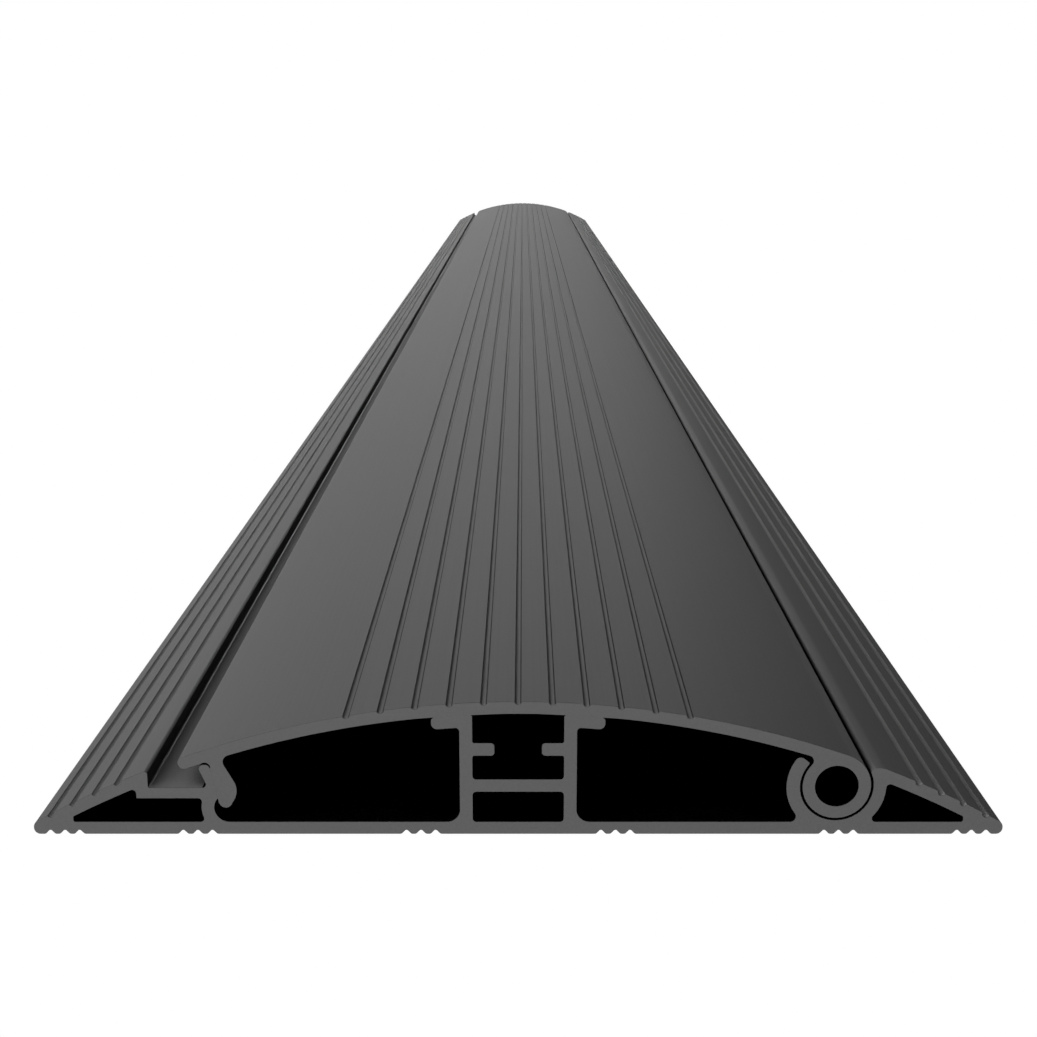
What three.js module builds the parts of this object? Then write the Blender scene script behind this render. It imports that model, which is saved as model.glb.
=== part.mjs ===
// Floor cord cover: a low two-piece aluminium raceway, in millimetres.
// X runs across it, Y along it and Z up from the floor.
// The base is one extrusion, with ramps, two centre walls, a latch post and
// a hinge socket. The lid is a second extrusion. Its tube turns in the socket
// at +X and its hook drops behind the latch post at -X.
import * as THREE from 'three';

// Overall
const LENGTH = 1500;
const WIDTH = 133;
const HEIGHT = 19.25;

// Walls
const FLOOR_THICK = 1.8;
const WALL_THICK = 1.8;
const LID_THICK = 1.75;
const LEDGE_THICK = 1.56;
const LEDGE_TOP = 6.8;

// Gaps between base and lid
const HINGE_GAP = 0.3;
const SEAT_GAP = 0.02;
const LATCH_GAP = 0.02;
const NOTCH_GAP = 0.28;
const FINGER_GAP = 4.23;

// Hinge, set in from the +X nose
const HINGE_INSET = 23.05;
const TUBE_RADIUS = 4.7;
const TUBE_WALL = 1.75;
const THROAT_ROUND = 0.8;
const LIP_ANGLE = 23;
const LIP_DROP = 0.64;
const LIP_ROUND = 0.7;
const LIP_CREST_ROUND = 2.8;
const ARM_THICK = 1.9;
const ARM_ANGLE = 138;
const ARM_TIP_ANGLE = 1;
const ARM_TIP_ROUND = 0.85;
const ARM_FILLET = 0.75;

// Latch post, set in from the -X nose
const POST_INSET = 24.44;
const POST_DROP = 0.28;
const POST_TOP_WIDTH = 1.75;
const POST_ANGLE = 11.5;
const POST_ROUND = 0.62;
const POST_FOOT_THICK = 0.98;
const POST_FOOT_ROUND = 0.5;
const NOTCH_OFFSET = 0.59;
const NOTCH_RADIUS = 0.75;

// Hook and the pocket below it: the toe, belly and pocket are offset from
// the heel, and the heights are above the floor plate
const HOOK_HEEL_HIGH = 2.21;
const HOOK_TOE_OFFSET = 1.25;
const HOOK_TOE_HIGH = 1.94;
const HOOK_TIP_ROUND = 0.9;
const HOOK_BELLY_OFFSET = 2.8;
const HOOK_BELLY_HIGH = 4.6;
const HOOK_BELLY_ROUND = 2.75;
const HOOK_ROOT_OFFSET = 1.48;
const HOOK_ROOT_ROUND = 1;
const POCKET_OFFSET = 1.27;
const POCKET_RADIUS = 2.05;
const CATCH_ROUND = 0.12;

// Centre walls, with their inward tabs and outward flanges
const WALL_OUTER = 8;
const FLANGE_REACH = 11.8;
const FLANGE_THICK = 1.75;
const FLANGE_TOP_ROUND = 0.55;
const SHELF_UNDERSIDE = 6.2;
const SHELF_TOP = 8.03;
const TAB_REACH = 3.2;
const TAB_LOW = 11.45;
const TAB_HIGH = 13.3;

// Ramps
const NOSE_HEIGHT = 1.6;
const NOSE_ROUND = 1.05;
const NOSE_UNDER_ROUND = 0.9;
const CAVITY_TIP_HIGH = 0.77;
const STEP_INSET = 16;
const STEP_WALL = 1.7;
const STEP_ROUND = 0.4;
const RAMP_GROOVES = 4;
const RAMP_GROOVE_INSET = 2.41;
const RAMP_GROOVE_PITCH = 3.13;
const RAMP_GROOVE_RADIUS = 0.5;

// Grip grooves along the lid
const LID_GROOVES = 11;
const LID_GROOVE_PITCH = 4.65;
const LID_GROOVE_RADIUS = 0.5;
const LID_GROOVE_DEPTH = 0.42;

// Grooves under the base, in groups of three. The inner groups are placed
// from the centre walls, and the others from the noses.
const FOOT_INNER_OFFSET = 5.35;
const FOOT_MIDDLE_INSET = 22.5;
const FOOT_OUTER_INSET = 4.25;
const FOOT_PITCH = 2;
const FOOT_DEPTH = 0.58;
const FOOT_HALF_WIDE = 0.68;
const FOOT_HALF_TOP = 0.125;
const FOOT_TOP_ROUND = 0.22;
const FOOT_EDGE_ROUND = 0.45;

// Roundings that many corners share
const FINE_ROUND = 0.28;
const CELL_ROUND = 0.5;
const FOOT_FILLET = 1.8;

// Facets: widest turn of one chord in degrees, and its longest run
const CHORD_ANGLE = 8;
const CHORD_RUN = 2.4;

// Share of a plate's thickness that rounds each corner of its free edge
const FULL_ROUND = 0.48;

// Circles that the section follows. The crown runs from nose to nose.
const NOSE_X = WIDTH / 2;
const CROWN_RISE = HEIGHT - NOSE_HEIGHT;
const CROWN_RADIUS = (NOSE_X ** 2 + CROWN_RISE ** 2) / (2 * CROWN_RISE);
const CROWN = { x: 0, z: HEIGHT - CROWN_RADIUS, r: CROWN_RADIUS };
const LID_UNDER = { ...CROWN, r: CROWN_RADIUS - LID_THICK };
const RAMP_UNDER = { ...CROWN, r: CROWN_RADIUS - WALL_THICK };
const SEAT = { ...CROWN, r: LID_UNDER.r - SEAT_GAP };
const FLANGE_UNDER = { ...CROWN, r: SEAT.r - FLANGE_THICK };
// The lid's crown runs into its hinge tube without a corner
const HINGE_X = NOSE_X - HINGE_INSET;
const HINGE_Z = CROWN.z + Math.sqrt((CROWN.r - TUBE_RADIUS) ** 2 - HINGE_X ** 2);
const TUBE = { x: HINGE_X, z: HINGE_Z, r: TUBE_RADIUS };
const SOCKET = { ...TUBE, r: TUBE_RADIUS + HINGE_GAP };
const ARM = { ...TUBE, r: SOCKET.r + ARM_THICK };
const SOCKET_BACK = { ...TUBE, r: SOCKET.r + WALL_THICK };

// Places that the latch, the ledge and the hollows share
const POST_X = POST_INSET - NOSE_X;
const NOTCH_X = POST_X - NOTCH_OFFSET;
const POST_TOP = topOf(LID_UNDER, NOTCH_X) - POST_DROP;
const NOTCH = { x: NOTCH_X, z: POST_TOP + NOTCH_GAP - NOTCH_RADIUS, r: NOTCH_RADIUS };
const HEEL_Z = FLOOR_THICK + HOOK_HEEL_HIGH;
const HEEL_X = postFlank(HEEL_Z) + LATCH_GAP / Math.cos(radians(POST_ANGLE));
const POCKET = { x: HEEL_X + POCKET_OFFSET, z: FLOOR_THICK + POCKET_RADIUS, r: POCKET_RADIUS };
const POCKET_BACK = { ...POCKET, r: POCKET_RADIUS + WALL_THICK };
const STEP_X = STEP_INSET - NOSE_X;
const LID_END_X = STEP_X + FINGER_GAP;
const CAVITY_TIP = halfWidth(RAMP_UNDER, FLOOR_THICK + CAVITY_TIP_HIGH);
const WALL_INNER = WALL_OUTER - WALL_THICK;
const FLANK_UP = { x: -Math.sin(radians(POST_ANGLE)), z: Math.cos(radians(POST_ANGLE)) };

function radians(degrees) {
  return degrees * Math.PI / 180;
}

// Height of a circle's upper side at x
function topOf(circle, x) {
  return circle.z + Math.sqrt(circle.r ** 2 - (x - circle.x) ** 2);
}

// How far from its middle line a circle reaches at a height
function halfWidth(circle, z) {
  return Math.sqrt(circle.r ** 2 - (z - circle.z) ** 2);
}

// Point of a circle at an angle from +X
function pointAt(circle, angle) {
  return { x: circle.x + circle.r * Math.cos(angle), z: circle.z + circle.r * Math.sin(angle) };
}

// Corner of an outline, with its rounding. The edge to the next corner is
// straight, or follows a circle: turn 1 is anticlockwise, -1 is clockwise.
function corner(x, z, round = 0, along = null, turn = 1) {
  return { x, z, round, along, turn };
}

// Where two circles cross, on the side nearest to a point
function crossing(a, b, near) {
  const dx = b.x - a.x;
  const dz = b.z - a.z;
  const apart = Math.hypot(dx, dz);
  const reach = (apart ** 2 + a.r ** 2 - b.r ** 2) / (2 * apart);
  const half = Math.sqrt(Math.max(a.r ** 2 - reach ** 2, 0));
  const both = [1, -1].map((side) => ({
    x: a.x + (dx * reach - side * dz * half) / apart,
    z: a.z + (dz * reach + side * dx * half) / apart,
  }));
  return nearest(both, near);
}

function nearest(points, to) {
  const gap = (p) => Math.hypot(p.x - to.x, p.z - to.z);
  return points.reduce((best, p) => (gap(p) < gap(best) ? p : best));
}

// Where a line, through a point in a unit direction, crosses a circle
function lineCrossing(point, dir, circle, near) {
  const px = point.x - circle.x;
  const pz = point.z - circle.z;
  const middle = -(px * dir.x + pz * dir.z);
  const half = Math.sqrt(Math.max(circle.r ** 2 - px ** 2 - pz ** 2 + middle ** 2, 0));
  const both = [middle - half, middle + half].map((t) => ({
    x: point.x + dir.x * t,
    z: point.z + dir.z * t,
  }));
  return nearest(both, near);
}

// Unit direction of an edge at one of its points
function heading(edge, at) {
  if (edge.circle) {
    const { x, z, r } = edge.circle;
    return { x: -edge.turn * (at.z - z) / r, z: edge.turn * (at.x - x) / r };
  }
  const run = Math.hypot(edge.to.x - edge.from.x, edge.to.z - edge.from.z);
  return { x: (edge.to.x - edge.from.x) / run, z: (edge.to.z - edge.from.z) / run };
}

// The line or circle that runs beside an edge, offset to its left
function beside(edge, offset) {
  if (edge.circle) return { circle: { ...edge.circle, r: edge.circle.r - edge.turn * offset } };
  const dir = heading(edge, edge.from);
  return { point: { x: edge.from.x - dir.z * offset, z: edge.from.z + dir.x * offset }, dir };
}

// Where two such lines or circles meet near a corner
function meeting(a, b, near) {
  if (a.circle && b.circle) return crossing(a.circle, b.circle, near);
  if (a.circle) return lineCrossing(b.point, b.dir, a.circle, near);
  if (b.circle) return lineCrossing(a.point, a.dir, b.circle, near);
  const cross = a.dir.x * b.dir.z - a.dir.z * b.dir.x;
  const t = ((b.point.x - a.point.x) * b.dir.z - (b.point.z - a.point.z) * b.dir.x) / cross;
  return { x: a.point.x + a.dir.x * t, z: a.point.z + a.dir.z * t };
}

// Point of an edge nearest to a fillet's centre
function touch(edge, centre) {
  if (edge.circle) {
    const { x, z, r } = edge.circle;
    const away = Math.hypot(centre.x - x, centre.z - z);
    return { x: x + (centre.x - x) * r / away, z: z + (centre.z - z) * r / away };
  }
  const dir = heading(edge, edge.from);
  const t = (centre.x - edge.from.x) * dir.x + (centre.z - edge.from.z) * dir.z;
  return { x: edge.from.x + dir.x * t, z: edge.from.z + dir.z * t };
}

// Points along an arc, without its last one
function arcPoints(circle, from, to, turn) {
  const start = Math.atan2(from.z - circle.z, from.x - circle.x);
  let sweep = Math.atan2(to.z - circle.z, to.x - circle.x) - start;
  while (sweep * turn < 0) sweep += turn * 2 * Math.PI;
  const size = Math.abs(sweep);
  const byAngle = Math.ceil(size / radians(CHORD_ANGLE));
  const count = Math.max(byAngle, Math.ceil(size * circle.r / CHORD_RUN));
  return Array.from({ length: count }, (_, i) => pointAt(circle, start + sweep * i / count));
}

// Closed outline of rounded corners, as points
function outline(corners) {
  const count = corners.length;
  const edges = corners.map((from, i) => {
    const to = corners[(i + 1) % count];
    return { from, to, circle: from.along, turn: from.turn };
  });
  const ends = corners.map((at, i) => {
    if (!at.round) return { enter: at, leave: at };
    const before = edges[(i + count - 1) % count];
    const after = edges[i];
    const d0 = heading(before, at);
    const d1 = heading(after, at);
    const turn = Math.sign(d0.x * d1.z - d0.z * d1.x);
    const offset = turn * at.round;
    const centre = meeting(beside(before, offset), beside(after, offset), at);
    return { enter: touch(before, centre), leave: touch(after, centre), centre, turn };
  });
  const points = corners.flatMap((at, i) => {
    const { enter, leave, centre, turn } = ends[i];
    const next = ends[(i + 1) % count].enter;
    const rounding = centre ? arcPoints({ ...centre, r: at.round }, enter, leave, turn) : [];
    const run = at.along ? arcPoints(at.along, leave, next, at.turn) : [leave];
    return [...rounding, ...run];
  });
  return points.map((p) => new THREE.Vector2(p.x, p.z));
}

// One extrusion of a section, along Y and centred on it
function extrude(corners, holes) {
  const shape = new THREE.Shape(outline(corners));
  shape.holes = holes.map((hole) => new THREE.Path(outline(hole)));
  const solid = new THREE.ExtrudeGeometry(shape, { depth: LENGTH, bevelEnabled: false });
  solid.rotateX(Math.PI / 2);
  solid.translate(0, LENGTH / 2, 0);
  return solid;
}

// A groove cut into the crown, passed from +X to -X. Its centre lies at a
// height above the crown, and each of its two edges has a rounding.
function crownGroove(x, radius, lift, roundRight, roundLeft) {
  const angle = Math.acos(x / CROWN.r);
  const cut = { ...pointAt({ ...CROWN, r: CROWN.r + lift }, angle), r: radius };
  const right = crossing(CROWN, cut, { x: cut.x + radius, z: cut.z });
  const left = crossing(CROWN, cut, { x: cut.x - radius, z: cut.z });
  return [
    corner(right.x, right.z, roundRight, cut, -1),
    corner(left.x, left.z, roundLeft, CROWN),
  ];
}

// A chain of corners on the other side of the middle plane, passed backwards
function mirrored(chain) {
  const others = chain.map((at, i) => {
    const before = chain[i - 1];
    const along = before?.along ? { ...before.along, x: -before.along.x } : null;
    return corner(-at.x, at.z, at.round, along, before?.turn);
  });
  return others.reverse();
}

// The +X ramp from its nose up to its last groove
function ramp() {
  const grooves = Array.from({ length: RAMP_GROOVES }, (_, i) => {
    const x = NOSE_X - RAMP_GROOVE_INSET - i * RAMP_GROOVE_PITCH;
    return crownGroove(x, RAMP_GROOVE_RADIUS, 0, 0, FINE_ROUND);
  });
  return [
    corner(NOSE_X, 0, NOSE_UNDER_ROUND),
    corner(NOSE_X, NOSE_HEIGHT, NOSE_ROUND, CROWN),
    ...grooves.flat(),
  ];
}

// The grooves under the base, passed from -X to +X
function footGrooves() {
  const inner = WALL_OUTER + FOOT_INNER_OFFSET;
  const groups = [inner, NOSE_X - FOOT_MIDDLE_INSET, NOSE_X - FOOT_OUTER_INSET];
  const middles = [...groups.map((x) => -x).reverse(), ...groups];
  const centres = middles.flatMap((x) => [x - FOOT_PITCH, x, x + FOOT_PITCH]);
  return centres.flatMap((x) => [
    corner(x - FOOT_HALF_WIDE, 0, FOOT_EDGE_ROUND),
    corner(x - FOOT_HALF_TOP, FOOT_DEPTH, FOOT_TOP_ROUND),
    corner(x + FOOT_HALF_TOP, FOOT_DEPTH, FOOT_TOP_ROUND),
    corner(x + FOOT_HALF_WIDE, 0, FOOT_EDGE_ROUND),
  ]);
}

// The lip at the top of the +X ramp, and the socket that holds the tube
function hingeSocket() {
  const lip = pointAt(SOCKET, radians(LIP_ANGLE));
  const lipTop = topOf(CROWN, lip.x) - LIP_DROP;
  const lipRound = Math.min(LIP_ROUND, 2 * FULL_ROUND * (lipTop - lip.z));
  const tipIn = pointAt(SOCKET, radians(ARM_ANGLE));
  const tipOut = pointAt(ARM, radians(ARM_ANGLE + ARM_TIP_ANGLE));
  return [
    corner(halfWidth(CROWN, lipTop), lipTop, LIP_CREST_ROUND),
    corner(lip.x, lipTop, lipRound),
    corner(lip.x, lip.z, 0, SOCKET, -1),
    corner(tipIn.x, tipIn.z, FINE_ROUND),
    corner(tipOut.x, tipOut.z, ARM_TIP_ROUND, ARM),
    corner(footOf(ARM, -1), FLOOR_THICK, ARM_FILLET),
  ];
}

// Where a circle meets the top of the floor plate, on one side
function footOf(circle, side) {
  return circle.x + side * halfWidth(circle, FLOOR_THICK);
}

// The +X centre wall: up its outside, round its flange, and down its inside
function centreWall() {
  return [
    corner(WALL_OUTER, FLOOR_THICK, FOOT_FILLET),
    corner(WALL_OUTER, topOf(FLANGE_UNDER, WALL_OUTER), CELL_ROUND, FLANGE_UNDER, -1),
    corner(FLANGE_REACH, topOf(FLANGE_UNDER, FLANGE_REACH), FULL_ROUND * FLANGE_THICK),
    corner(FLANGE_REACH, topOf(SEAT, FLANGE_REACH), FLANGE_TOP_ROUND, SEAT),
    corner(WALL_INNER, topOf(SEAT, WALL_INNER), FINE_ROUND),
    corner(WALL_INNER, TAB_HIGH, FINE_ROUND),
    corner(TAB_REACH, TAB_HIGH, CELL_ROUND),
    corner(TAB_REACH, TAB_LOW, CELL_ROUND),
    corner(WALL_INNER, TAB_LOW, FINE_ROUND),
    corner(WALL_INNER, SHELF_TOP, CELL_ROUND),
  ];
}

// x of the post's flank that faces the hook, leaning towards -X as it rises
function postFlank(z) {
  return POST_X + Math.tan(radians(POST_ANGLE)) * (POST_TOP - z);
}

// The pocket under the hook, the post, and the ledge up to the -X ramp
function latchPost() {
  const top = { x: POST_X, z: POST_TOP };
  const catchEdge = lineCrossing(top, FLANK_UP, POCKET, { x: POST_X, z: POCKET.z + POCKET.r });
  return [
    corner(POCKET.x, FLOOR_THICK, 0, POCKET, -1),
    corner(catchEdge.x, catchEdge.z, CATCH_ROUND),
    corner(top.x, top.z, POST_ROUND),
    corner(top.x - POST_TOP_WIDTH, POST_TOP, POST_ROUND),
    corner(postFlank(LEDGE_TOP) - POST_FOOT_THICK, LEDGE_TOP, POST_FOOT_ROUND),
    corner(STEP_X, LEDGE_TOP, FINE_ROUND),
    corner(STEP_X, topOf(CROWN, STEP_X), STEP_ROUND, CROWN),
  ];
}

// The hollow under the -X ramp and its ledge
function leftCavity() {
  const wall = STEP_X - STEP_WALL;
  const ceiling = LEDGE_TOP - LEDGE_THICK;
  const latchTop = POCKET.x - halfWidth(POCKET_BACK, ceiling);
  return [
    corner(footOf(POCKET_BACK, -1), FLOOR_THICK, CELL_ROUND, POCKET_BACK, -1),
    corner(latchTop, ceiling, CELL_ROUND),
    corner(wall, ceiling, CATCH_ROUND),
    corner(wall, topOf(RAMP_UNDER, wall), CELL_ROUND, RAMP_UNDER),
    corner(-CAVITY_TIP, topOf(RAMP_UNDER, -CAVITY_TIP), FINE_ROUND),
    corner(-CAVITY_TIP, FLOOR_THICK, FINE_ROUND),
  ];
}

// The hollow between the socket and the +X ramp
function rightCavity() {
  const roof = crossing(RAMP_UNDER, SOCKET_BACK, { x: HINGE_X + SOCKET_BACK.r, z: HINGE_Z });
  return [
    corner(CAVITY_TIP, FLOOR_THICK, FINE_ROUND),
    corner(CAVITY_TIP, topOf(RAMP_UNDER, CAVITY_TIP), FINE_ROUND, RAMP_UNDER),
    corner(roof.x, roof.z, CELL_ROUND, SOCKET_BACK, -1),
    corner(footOf(SOCKET_BACK, 1), FLOOR_THICK, CELL_ROUND),
  ];
}

// The closed cell under the shelf between the centre walls
function lowerCell() {
  return [
    corner(WALL_INNER, FLOOR_THICK, CELL_ROUND),
    corner(WALL_INNER, SHELF_UNDERSIDE, CELL_ROUND),
    corner(-WALL_INNER, SHELF_UNDERSIDE, CELL_ROUND),
    corner(-WALL_INNER, FLOOR_THICK, CELL_ROUND),
  ];
}

function baseSection() {
  return [
    ...footGrooves(),
    ...ramp(),
    ...hingeSocket(),
    ...centreWall(),
    ...mirrored(centreWall()),
    ...latchPost(),
    ...mirrored(ramp()),
  ];
}

// The hook under the lid's -X edge, from the notch over the post to its root
function hook() {
  const from = crossing(LID_UNDER, NOTCH, { x: NOTCH.x - NOTCH.r, z: NOTCH.z + NOTCH.r });
  const heel = { x: HEEL_X, z: HEEL_Z };
  const to = lineCrossing(heel, FLANK_UP, NOTCH, { x: NOTCH.x + NOTCH.r, z: NOTCH.z });
  const root = POST_X + HOOK_ROOT_OFFSET;
  return [
    corner(from.x, from.z, 0, NOTCH, -1),
    corner(to.x, to.z),
    corner(heel.x, heel.z, HOOK_TIP_ROUND),
    corner(heel.x + HOOK_TOE_OFFSET, FLOOR_THICK + HOOK_TOE_HIGH, HOOK_TIP_ROUND),
    corner(heel.x + HOOK_BELLY_OFFSET, FLOOR_THICK + HOOK_BELLY_HIGH, HOOK_BELLY_ROUND),
    corner(root, topOf(LID_UNDER, root), HOOK_ROOT_ROUND, LID_UNDER, -1),
  ];
}

function lidGrooves() {
  const lift = LID_GROOVE_RADIUS - LID_GROOVE_DEPTH;
  return Array.from({ length: LID_GROOVES }, (_, i) => {
    const x = ((LID_GROOVES - 1) / 2 - i) * LID_GROOVE_PITCH;
    return crownGroove(x, LID_GROOVE_RADIUS, lift, 0, 0);
  }).flat();
}

function lidSection() {
  const endAngle = Math.acos(LID_END_X / (CROWN.r - LID_THICK / 2));
  const endLow = pointAt(LID_UNDER, endAngle);
  const endHigh = pointAt(CROWN, endAngle);
  const endRound = FULL_ROUND * LID_THICK;
  const throat = crossing(LID_UNDER, TUBE, { x: TUBE.x - TUBE.r, z: TUBE.z + TUBE.r });
  const join = pointAt(CROWN, Math.atan2(TUBE.z - CROWN.z, TUBE.x));
  return [
    corner(endLow.x, endLow.z, endRound, LID_UNDER, -1),
    ...hook(),
    corner(throat.x, throat.z, THROAT_ROUND, TUBE),
    corner(join.x, join.z, 0, CROWN),
    ...lidGrooves(),
    corner(endHigh.x, endHigh.z, endRound),
  ];
}

// The tube's bore, as two half circles
function bore() {
  const ring = { ...TUBE, r: TUBE_RADIUS - TUBE_WALL };
  return [
    corner(ring.x + ring.r, ring.z, 0, ring),
    corner(ring.x - ring.r, ring.z, 0, ring),
  ];
}

function basePaint() {
  return new THREE.MeshStandardMaterial({ color: '#5c5c5c', roughness: 0.55, metalness: 0.2 });
}

function lidPaint() {
  return new THREE.MeshStandardMaterial({ color: '#595959', roughness: 0.55, metalness: 0.2 });
}

function piece(name, solid, paint) {
  const mesh = new THREE.Mesh(solid, paint);
  mesh.name = name;
  return mesh;
}

function floorCordCover() {
  const base = extrude(baseSection(), [leftCavity(), lowerCell(), rightCavity()]);
  const lid = extrude(lidSection(), [bore()]);
  const group = new THREE.Group();
  group.add(piece('base', base, basePaint()), piece('lid', lid, lidPaint()));
  return group;
}

export default floorCordCover();
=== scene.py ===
"""Floor cord cover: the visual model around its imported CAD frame, in metres.

X runs across the cover, Y along it and Z up from the floor. Each piece takes
its section from its CAD node, and adds broken edges at the sawn ends.
"""
import math

import bmesh
import bpy
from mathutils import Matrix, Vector
from mathutils.bvhtree import BVHTree
from mathutils.geometry import tessellate_polygon


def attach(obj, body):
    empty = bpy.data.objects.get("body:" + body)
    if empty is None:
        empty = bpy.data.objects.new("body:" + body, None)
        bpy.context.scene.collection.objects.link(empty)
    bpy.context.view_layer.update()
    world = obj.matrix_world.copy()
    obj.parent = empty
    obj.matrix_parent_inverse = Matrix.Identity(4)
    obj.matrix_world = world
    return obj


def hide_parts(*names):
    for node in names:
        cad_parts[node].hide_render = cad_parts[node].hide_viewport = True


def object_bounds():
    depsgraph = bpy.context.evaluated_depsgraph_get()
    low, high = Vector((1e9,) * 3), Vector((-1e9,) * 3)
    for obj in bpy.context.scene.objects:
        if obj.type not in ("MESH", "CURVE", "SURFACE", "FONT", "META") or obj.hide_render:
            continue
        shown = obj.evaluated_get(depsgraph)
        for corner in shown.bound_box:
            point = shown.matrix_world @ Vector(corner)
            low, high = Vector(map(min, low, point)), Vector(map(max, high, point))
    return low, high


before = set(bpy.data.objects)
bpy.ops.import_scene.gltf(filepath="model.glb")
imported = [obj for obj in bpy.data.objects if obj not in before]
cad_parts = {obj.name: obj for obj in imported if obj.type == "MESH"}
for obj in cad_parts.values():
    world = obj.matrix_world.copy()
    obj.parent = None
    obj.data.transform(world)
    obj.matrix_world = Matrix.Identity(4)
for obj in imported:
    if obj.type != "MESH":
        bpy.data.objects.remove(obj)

cad_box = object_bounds()
LOW, HIGH = cad_box
HALF_LENGTH = HIGH.y

# Points of a section closer than this are one point
WELD = 1e-7

# Sawn ends: the rounding of their broken edges
END_ROUND = 0.00004
END_STEPS = 3

# Where the two pieces rest on each other: the widest gap between them there, the
# places looked at along an edge, and how far each face is pressed out to close it
CONTACT_GAP = 0.00005
CONTACT_STEPS = 6
PRESS = 0.000007

# Neighbouring faces that turn less than this share one smooth surface
SMOOTH_BELOW = math.radians(14)

# The materials of a piece, by their places in the list from finishes()
PLAIN, HOLLOW, SLOT, FILLET, GROOVE, EDGE = range(6)

# Longest chord of the small concave fillets, and of the grooves on top
FILLET_CHORD = 0.00005
GROOVE_CHORD = 0.0001

# A face is in a hollow if there is metal above its middle, and in the slot if
# there is metal above its end only. None is if it is underneath. Faces in a
# hollow or the slot get painted shade.
MIDDLE = 0.5
END = 0.05
CLEAR = 0.00001
UNDERSIDE = 0.001

# Linear reflectance of the dark satin finish, and its variation
BASE_GREY = 0.1
LID_GREY = 0.1
GRAIN_CONTRAST = 0.07
STREAK_CONTRAST = 0.03
NOISE_LOW = 0.3
NOISE_HIGH = 0.7
NOISE_DETAIL = 2
ROUGHNESS = 0.62
ROUGHNESS_VARIATION = 0.04
FILLET_ROUGHNESS = 0.38
SPECULAR = 0.5

# Sizes of the finish's features, in metres
GRAIN_SIZE = 0.00025
GRAIN_DEPTH = 0.000012
STREAK_WIDTH = 0.0004
STREAK_LENGTH = 0.3
STREAK_DEPTH = 0.000002

# Painted light on the ledge and in the ramp grooves, and a painted shade line on the sawn ends' edges, as
# factors on the plain finish
SLOT_PAINTED_LIGHT = 1.8
RAMP_GROOVE_PAINTED_LIGHT = 1.9
EDGE_PAINTED_SHADE = 0.45

# Painted light and shade that follow the X part of the face's direction. The upright
# sides of the base are painted darker, and its roundings that turn to +X painted
# lighter. The lid is painted lighter where it turns down to its tube, and a lid
# groove is painted dark on the side that faces -X.
BASE_PAINTED_LIGHT_AND_SHADE = ((-0.98, 0.4), (-0.85, 1), (0.5, 1), (0.6, 1.5), (0.85, 1.5), (0.98, 0.4))
LID_PAINTED_LIGHT = ((0.35, 1), (0.5, 1.5), (0.8, 2.5))
LID_GROOVE_PAINTED_LIGHT_AND_SHADE = (
    (-0.92, 1), (-0.82, 0.1), (-0.64, 0.1), (-0.5, 1.1),
    (-0.25, 1.5), (0.25, 1.5), (0.55, 0.8), (0.85, 0.6),
)

# Painted shade of sheltered faces: how far a face looks for open sky, the share of
# sky below which its colour is painted black, and the share above which it is left bare
HOLLOW_PAINTED_SHADE = (0.06, 0.55, 0.85)
SLOT_PAINTED_SHADE = (0.008, 0.14, 0.5)
SKY_SAMPLES = 8

# Camera, set against the near end of the cover
IMAGE_SIZE = 1037
SENSOR_MM = 36
FOCAL_PIXELS = 1580.6
PITCH = math.radians(13.797)
CAMERA_X = 0.000665
CAMERA_BACK = 0.20062
CAMERA_HIGH = 0.0939
FRAME_SHIFT = 4.6
CLIP_START = 0.01
CLIP_END = 100

# Soft boxes on a ring round the cover: azimuth from +Y towards +X, elevation,
# width and height as seen from the cover, all in degrees, and power in watts
RING_RADIUS = 8
SOFT_BOXES = {
    "box_behind_left": (-150, 15, 60, 30, 782),
    "box_front_left_low": (-35, 8, 36, 10, 54),
    "box_front_left": (-35, 20, 36, 16, 40),
    "box_front": (0, 15, 30, 8, 87),
    "box_front_right": (35, 8, 36, 10, 23),
}
FLOOR_GLOW = 1.0
FILL = 0.02
FLOOR_REACH = 20


# Sections of the CAD nodes

def end_edges(node):
    """The directed edges round a CAD node's near end face, as a dict from one (x, z) to the next."""
    bm = bmesh.new()
    bm.from_mesh(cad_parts[node].data)
    bmesh.ops.remove_doubles(bm, verts=bm.verts, dist=WELD)
    near = LOW.y + CLEAR

    def on_end(face):
        return all(v.co.y < near for v in face.verts)

    following = {}
    for face in filter(on_end, bm.faces):
        for loop in face.loops:
            if all(on_end(f) for f in loop.edge.link_faces):
                continue
            a, b = loop.vert.co, loop.link_loop_next.vert.co
            following[(a.x, a.z)] = (b.x, b.z)
    bm.free()
    return following


def section_loops(node):
    """The closed loops of a node's section, with the metal on the left of each."""
    following = end_edges(node)
    loops = []
    while following:
        start = at = next(iter(following))
        loop = []
        while at in following:
            loop.append(Vector(at))
            at = following.pop(at)
        assert at == start, f"the section of {node} isn't closed"
        loops.append(loop)
    return loops


def lefts(loop):
    """The unit vector into the metal from each edge of a loop."""
    found = []
    for i, point in enumerate(loop):
        run = (loop[(i + 1) % len(loop)] - point).normalized()
        found.append(Vector((-run.y, run.x)))
    return found


def inset(loop, distances):
    """A loop whose points are moved into the metal by a distance each, with mitred corners."""
    into = lefts(loop)
    moved = []
    for i, (point, distance) in enumerate(zip(loop, distances)):
        before, after = into[i - 1], into[i]
        moved.append(point + (before + after) * distance / (1 + before.dot(after)))
    return moved


def metal(names):
    """Some CAD nodes as one tree for rays and distances."""
    verts, faces = [], []
    for node in (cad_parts[name] for name in names):
        first = len(verts)
        verts += [v.co for v in node.data.vertices]
        faces += [[first + i for i in p.vertices] for p in node.data.polygons]
    return BVHTree.FromPolygons(verts, faces)


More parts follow.
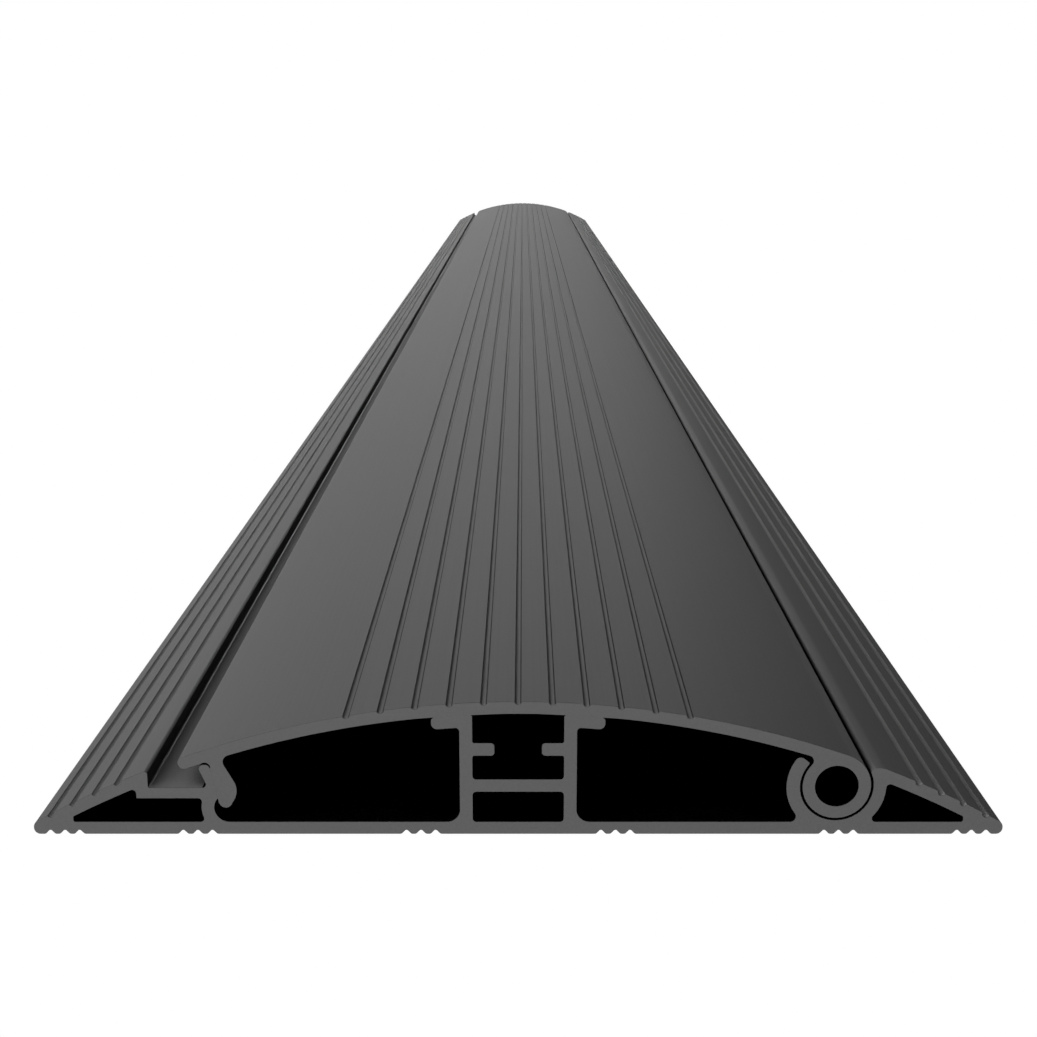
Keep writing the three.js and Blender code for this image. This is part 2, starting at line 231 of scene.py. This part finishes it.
def roofed(tree, loop, share):
    """For each edge of a loop, whether the point at a share of its length is under metal, in a hollow."""
    found = []
    for i, (point, into) in enumerate(zip(loop, lefts(loop))):
        out = point.lerp(loop[(i + 1) % len(loop)], share) - into * CLEAR
        above = tree.ray_cast(Vector((out.x, 0, out.y)), Vector((0, 0, 1)))[0]
        found.append(above is not None and out.y > UNDERSIDE)
    return found


def touching(tree, loop):
    """For each point of a loop, whether the other piece rests on it or on an edge beside it."""
    held = []
    for i, point in enumerate(loop):
        after = loop[(i + 1) % len(loop)]
        along = [point.lerp(after, j / CONTACT_STEPS) for j in range(CONTACT_STEPS + 1)]
        held.append(any(tree.find_nearest(Vector((p.x, 0, p.y)))[3] < CONTACT_GAP for p in along))
    return [held[i - 1] or held[i] for i in range(len(loop))]


def kinds_of(tree, loop):
    """The material of each edge of a loop."""
    runs = [loop[(i + 1) % len(loop)] - point for i, point in enumerate(loop)]
    concave = [run.cross(runs[i - 1]) > 0 for i, run in enumerate(runs)]
    middle, end = roofed(tree, loop, MIDDLE), roofed(tree, loop, END)
    kinds = []
    for i, run in enumerate(runs):
        ends = [concave[i], concave[(i + 1) % len(loop)]]
        if middle[i]:
            kinds.append(HOLLOW)
        elif end[i]:
            kinds.append(SLOT)
        elif run.length < FILLET_CHORD and all(ends):
            kinds.append(FILLET)
        elif FILLET_CHORD < run.length < GROOVE_CHORD and any(ends):
            kinds.append(GROOVE)
        else:
            kinds.append(PLAIN)
    return kinds


# Pieces

def end_stations():
    """(y, inset) of each ring along the cover, round the broken edges of both ends."""
    near = []
    for i in range(END_STEPS + 1):
        turn = math.pi / 2 * i / END_STEPS
        back = END_ROUND * (1 - math.cos(turn))
        near.append((-HALF_LENGTH + back, END_ROUND * (1 - math.sin(turn))))
    return near + [(-y, depth) for y, depth in reversed(near)]


def profile(name, node, other, materials):
    """A length of extrusion with the section of a CAD node, where another node lies against it."""
    loops = section_loops(node)
    stations = end_stations()
    tree = metal([node, other])
    neighbour = metal([other])
    contacts = [touching(neighbour, loop) for loop in loops]

    def ring_of(depth):
        pairs = zip(loops, contacts)
        return [inset(loop, [-PRESS if held else depth for held in contact]) for loop, contact in pairs]

    verts, faces, kinds = [], [], []
    for y, depth in stations:
        for loop in ring_of(depth):
            verts += [(p.x, y, p.y) for p in loop]
    ring = sum(len(loop) for loop in loops)
    first = 0
    for loop in loops:
        for i, kind in enumerate(kinds_of(tree, loop)):
            for turn in range(len(stations) - 1):
                a = first + i + turn * ring
                b = first + (i + 1) % len(loop) + turn * ring
                faces.append((b, a, a + ring, b + ring))
                # Strips round the sawn ends outside the hollows take the edge material, a painted shade
                # line
                broken = abs(stations[turn][0] + stations[turn + 1][0]) > HALF_LENGTH
                kinds.append(EDGE if broken and kind != HOLLOW else kind)
        first += len(loop)
    cap = [[(p.x, p.y, 0) for p in loop] for loop in ring_of(END_ROUND)]
    last = (len(stations) - 1) * ring
    for a, b, c in tessellate_polygon(cap):
        faces += [(a, b, c), (last + c, last + b, last + a)]
        kinds += [PLAIN, PLAIN]
    mesh = bpy.data.meshes.new(name)
    mesh.from_pydata(verts, [], faces)
    for material in materials:
        mesh.materials.append(material)
    mesh.polygons.foreach_set("material_index", kinds)
    bm = bmesh.new()
    bm.from_mesh(mesh)
    bmesh.ops.recalc_face_normals(bm, faces=bm.faces)
    bm.to_mesh(mesh)
    bm.free()
    mesh.shade_smooth()
    mesh.set_sharp_from_angle(angle=SMOOTH_BELOW)
    piece = bpy.data.objects.new(name, mesh)
    bpy.context.scene.collection.objects.link(piece)
    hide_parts(node)
    return piece


# Materials

class Graph:
    """The nodes of one material, with short calls to add and join them."""

    def __init__(self, name):
        self.material = bpy.data.materials.new(name)
        self.material.use_nodes = True
        self.tree = self.material.node_tree
        self.shader = self.tree.nodes["Principled BSDF"]

    def add(self, kind, values=None, **settings):
        node = self.tree.nodes.new(kind)
        for key, value in settings.items():
            setattr(node, key, value)
        for socket, value in (values or {}).items():
            if isinstance(value, bpy.types.NodeSocket):
                self.tree.links.new(value, node.inputs[socket])
            else:
                node.inputs[socket].default_value = value
        return node

    def into_shader(self, socket, value):
        if isinstance(value, bpy.types.NodeSocket):
            self.tree.links.new(value, self.shader.inputs[socket])
        else:
            self.shader.inputs[socket].default_value = value

    def mapped(self, value, low, high, to_low, to_high):
        ends = {"Value": value, "From Min": low, "From Max": high, "To Min": to_low, "To Max": to_high}
        return self.add("ShaderNodeMapRange", ends).outputs["Result"]

    def varied(self, noise, value, variation):
        """A value that noise moves by up to a variation to either side."""
        return self.mapped(noise, NOISE_LOW, NOISE_HIGH, value - variation, value + variation)

    def product(self, a, b):
        return self.add("ShaderNodeMath", {0: a, 1: b}, operation="MULTIPLY").outputs["Value"]

    def noise(self, sizes):
        """Noise whose features have a size along each axis, in metres."""
        place = self.add("ShaderNodeTexCoord").outputs["Object"]
        per_metre = [1 / size for size in sizes]
        scaled = self.add("ShaderNodeVectorMath", {0: place, 1: per_metre}, operation="MULTIPLY")
        values = {"Vector": scaled.outputs["Vector"], "Scale": 1, "Detail": NOISE_DETAIL}
        return self.add("ShaderNodeTexNoise", values).outputs["Fac"]

    def along_normal(self, painted_tones):
        """Painted light and shade: a value that follows the X part of the face's direction through
        (direction, value) pairs.
        """
        facing = self.add("ShaderNodeTexCoord").outputs["Normal"]
        across = self.add("ShaderNodeSeparateXYZ", {"Vector": facing}).outputs["X"]
        value = painted_tones[0][1]
        for (low, before), (high, after) in zip(painted_tones, painted_tones[1:]):
            step = self.mapped(across, low, high, 0, after - before)
            value = self.add("ShaderNodeMath", {0: value, 1: step}, operation="ADD").outputs["Value"]
        return value

    def bump(self, height, depth, normal=None):
        values = {"Height": height, "Distance": depth}
        if normal:
            values["Normal"] = normal
        return self.add("ShaderNodeBump", values).outputs["Normal"]


def finish(name, grey, roughness=ROUGHNESS, sky=None, painted_tones=None):
    """Dark satin finish: fine grain everywhere and faint die streaks along the cover.

    It can paint shade where there is little open sky, and paint light and shade that follow the face's
    direction; both also scale its specular level.
    """
    graph = Graph(name)
    grain = graph.noise([GRAIN_SIZE] * 3)
    streak = graph.noise([STREAK_WIDTH, STREAK_LENGTH, STREAK_WIDTH])
    fine = graph.varied(grain, 1, GRAIN_CONTRAST)
    broad = graph.varied(streak, 1, STREAK_CONTRAST)
    shade = graph.product(graph.product(fine, broad), grey)
    gloss = SPECULAR
    # Painted light and shade that follow the face's direction, on the colour and the specular level
    if painted_tones:
        painted_tone = graph.along_normal(painted_tones)
        shade = graph.product(shade, painted_tone)
        gloss = graph.product(painted_tone, gloss)
    # Painted shade where little open sky reaches the face, on the colour and the specular level
    if sky:
        reach, black, bare = sky
        open_sky = graph.add("ShaderNodeAmbientOcclusion", {"Distance": reach}, samples=SKY_SAMPLES)
        openness = graph.mapped(open_sky.outputs["AO"], black, bare, 0, 1)
        shade = graph.product(shade, openness)
        gloss = graph.product(openness, gloss)
    graph.into_shader("Base Color", shade)
    graph.into_shader("Roughness", graph.varied(grain, roughness, ROUGHNESS_VARIATION))
    normal = graph.bump(grain, GRAIN_DEPTH)
    graph.into_shader("Normal", graph.bump(streak, STREAK_DEPTH, normal))
    graph.into_shader("Metallic", 0)
    graph.into_shader("Specular IOR Level", gloss)
    return graph.material


def finishes(name, grey, groove, painted_tones):
    """A piece's materials: plain faces with the given painted light and shade by direction, hollows with
    painted shade, slot with painted light and shade, fillets, grooves with their given painted tones, and
    the edges of its sawn ends with a painted shade line.
    """
    return [
        finish(name, grey, painted_tones=painted_tones),
        # The hollows' material is painted in shade where little open sky reaches it
        finish(name + "_hollow_painted_shade", grey, sky=HOLLOW_PAINTED_SHADE),
        # The slot's material is painted lighter, and painted in shade where little open sky reaches it
        finish(name + "_slot_painted_light_and_shade", grey * SLOT_PAINTED_LIGHT, sky=SLOT_PAINTED_SHADE),
        finish(name + "_fillet", grey, FILLET_ROUGHNESS),
        groove,
        # The edges' material is painted darker, a painted shade line
        finish(name + "_edge_painted_shade", grey * EDGE_PAINTED_SHADE),
    ]


# Stage, lights and camera

def floor():
    reach = FLOOR_REACH
    corners = [(-reach, -reach, 0), (reach, -reach, 0), (reach, reach, 0), (-reach, reach, 0)]
    mesh = bpy.data.meshes.new("floor")
    mesh.from_pydata(corners, [], [(0, 1, 2, 3)])
    plane = bpy.data.objects.new("floor", mesh)
    bpy.context.scene.collection.objects.link(plane)
    plane.location.z = LOW.z - CLEAR
    plane.visible_diffuse = False
    plane.visible_glossy = False
    graph = Graph("white_floor")
    graph.into_shader("Base Color", (0.0, 0.0, 0.0, 1))
    graph.into_shader("Roughness", 1)
    graph.into_shader("Specular IOR Level", 0)
    graph.into_shader("Emission Color", (1, 1, 1, 1))
    graph.into_shader("Emission Strength", FLOOR_GLOW)
    mesh.materials.append(graph.material)


def soft_box(name, azimuth, elevation, wide, tall, power):
    data = bpy.data.lights.new(name, "AREA")
    data.shape = "RECTANGLE"
    data.size = 2 * RING_RADIUS * math.tan(math.radians(wide / 2))
    data.size_y = 2 * RING_RADIUS * math.tan(math.radians(tall / 2))
    data.energy = power
    lamp = bpy.data.objects.new(name, data)
    turn, rise = math.radians(azimuth), math.radians(elevation)
    way = Vector((math.sin(turn) * math.cos(rise), math.cos(turn) * math.cos(rise), math.sin(rise)))
    lamp.location = way * RING_RADIUS
    lamp.rotation_euler = way.to_track_quat("Z", "Y").to_euler()
    lamp.visible_camera = False
    bpy.context.scene.collection.objects.link(lamp)


def studio():
    """White all round for the camera. The cover is lit by soft boxes and a little fill."""
    scene = bpy.context.scene
    scene.view_settings.view_transform = "Standard"
    for name, place in SOFT_BOXES.items():
        soft_box(name, *place)
    world = scene.world = bpy.data.worlds.new("studio")
    world.use_nodes = True
    tree = world.node_tree
    sky = tree.nodes["Background"]
    sky.inputs["Color"].default_value = (1, 1, 1, 1)
    seen = tree.nodes.new("ShaderNodeLightPath").outputs["Is Camera Ray"]
    strength = tree.nodes.new("ShaderNodeMapRange")
    strength.inputs["To Min"].default_value = FILL
    strength.inputs["To Max"].default_value = 1
    tree.links.new(seen, strength.inputs["Value"])
    tree.links.new(strength.outputs["Result"], sky.inputs["Strength"])


def camera():
    data = bpy.data.cameras.new("camera")
    data.sensor_width = SENSOR_MM
    data.lens = SENSOR_MM * FOCAL_PIXELS / IMAGE_SIZE
    data.shift_x = -FRAME_SHIFT / IMAGE_SIZE
    data.clip_start = CLIP_START
    data.clip_end = CLIP_END
    eye = bpy.data.objects.new("camera", data)
    eye.location = (CAMERA_X, LOW.y - CAMERA_BACK, CAMERA_HIGH)
    eye.rotation_euler = (math.pi / 2 - PITCH, 0, 0)
    bpy.context.scene.collection.objects.link(eye)
    bpy.context.scene.camera = eye


# The ramp grooves' material is the finish painted lighter, a painted light
ramp_groove_painted_light = finish("base_groove_painted_light", BASE_GREY * RAMP_GROOVE_PAINTED_LIGHT)
base = profile("base_profile", "base", "lid", finishes("base_finish", BASE_GREY, ramp_groove_painted_light, BASE_PAINTED_LIGHT_AND_SHADE))
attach(base, "base")
# The lid grooves' material has painted light and shade by the face's direction
lid_groove_painted_tones = finish("lid_groove_painted_light_and_shade", LID_GREY, painted_tones=LID_GROOVE_PAINTED_LIGHT_AND_SHADE)
lid = profile("lid_profile", "lid", "base", finishes("lid_finish", LID_GREY, lid_groove_painted_tones, LID_PAINTED_LIGHT))
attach(lid, "lid")
floor()
studio()
camera()
